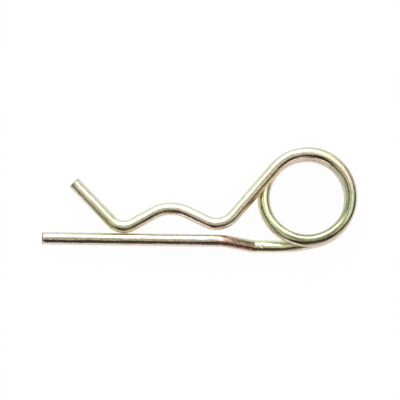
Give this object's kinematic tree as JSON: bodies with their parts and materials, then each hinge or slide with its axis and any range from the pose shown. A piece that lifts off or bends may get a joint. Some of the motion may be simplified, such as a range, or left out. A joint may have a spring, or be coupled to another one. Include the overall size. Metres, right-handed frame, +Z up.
{
  "type": "hitch pin clip",
  "caption": "R-shaped hitch pin clip of round spring wire: a straight leg for a shaft's cross hole, a spring coil, and a bent leg whose arch grips the shaft from outside.",
  "frame": {"origin": "on the floor, under the middle of the clip's bounding box as it lies at rest", "axes": "+X from the legs' tips towards the coil, +Y from the straight leg towards the spring leg, +Z up, away from the floor"},
  "size_m": [0.1023, 0.0346, 0.0098],
  "materials": {
    "plated_wire": "bright yellow passivated zinc with a faint rainbow"
  },
  "bodies": {
    "root": {"r_clip": "plated_wire"}
  },
  "joints": []
}
